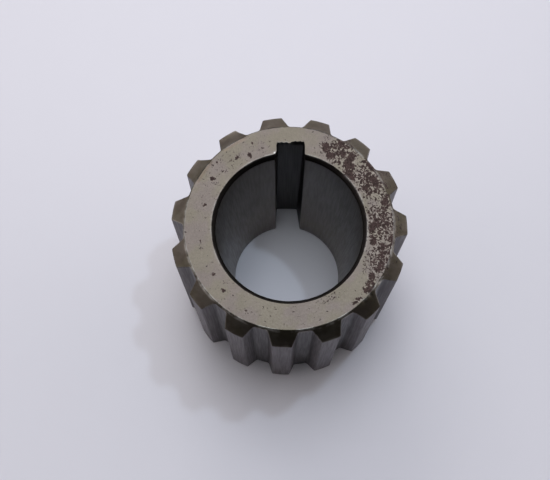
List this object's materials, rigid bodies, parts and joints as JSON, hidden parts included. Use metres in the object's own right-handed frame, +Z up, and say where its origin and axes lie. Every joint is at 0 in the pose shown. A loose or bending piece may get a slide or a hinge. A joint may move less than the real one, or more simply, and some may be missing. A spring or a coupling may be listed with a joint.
{
  "type": "toothed coupling hub",
  "caption": "Short steel coupling hub with straight external teeth, chamfered tooth ends and a through 1:10 taper bore with a full-length keyway.",
  "frame": {"origin": "on the bore's axis, in the plane of the small-bore end face, which the hub stands on", "axes": "+Z up the bore's axis towards the large-bore end face; +Y through the middle of the keyway; +X completes the right-handed set"},
  "size_m": [0.0354, 0.0354, 0.036],
  "materials": {
    "machined_steel": "fine-turned satin end faces, dark milled teeth and bore, patches of brown-black corrosion speckle"
  },
  "bodies": {
    "root": {"toothed_hub": "machined_steel"}
  },
  "joints": []
}
